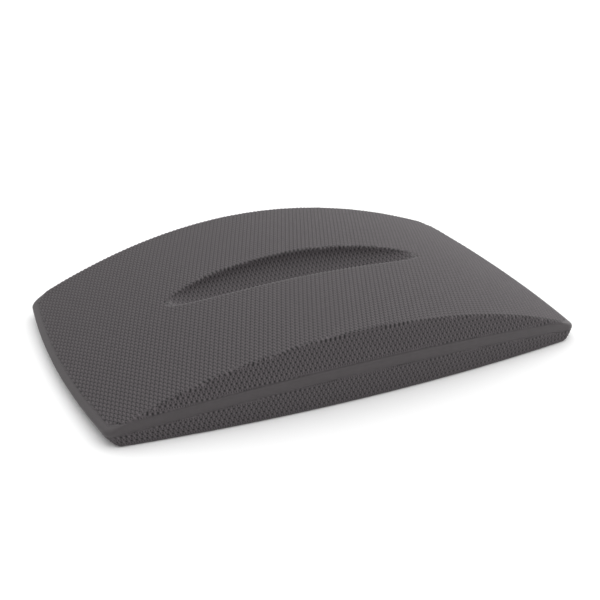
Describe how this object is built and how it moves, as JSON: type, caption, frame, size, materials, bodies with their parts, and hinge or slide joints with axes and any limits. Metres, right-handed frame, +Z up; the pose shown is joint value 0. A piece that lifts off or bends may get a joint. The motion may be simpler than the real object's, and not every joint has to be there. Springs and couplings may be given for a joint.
{
  "type": "rocking balance board",
  "caption": "Oblong foam balance board lying on its flat deck: arched textured top with an oval slot, a hollowed scoop along each long side and a smooth edge band.",
  "frame": {"origin": "centre of the flat deck, on the floor that the board lies on", "axes": "+X along the arch and the slot, +Y across the board, +Z up through the crown of the arch"},
  "size_m": [0.51, 0.325, 0.0719],
  "materials": {
    "textured_skin": "fine raised dimple texture, matt",
    "smooth_band": "smooth, satin",
    "core_foam": "fine closed-cell foam",
    "panel_ply": "birch plywood, unfinished"
  },
  "bodies": {
    "root": {"upper_skin": "textured_skin", "edge_band": "smooth_band", "lower_skin": "textured_skin", "foam_core": "core_foam", "stiffener_panel": "panel_ply"}
  },
  "joints": []
}
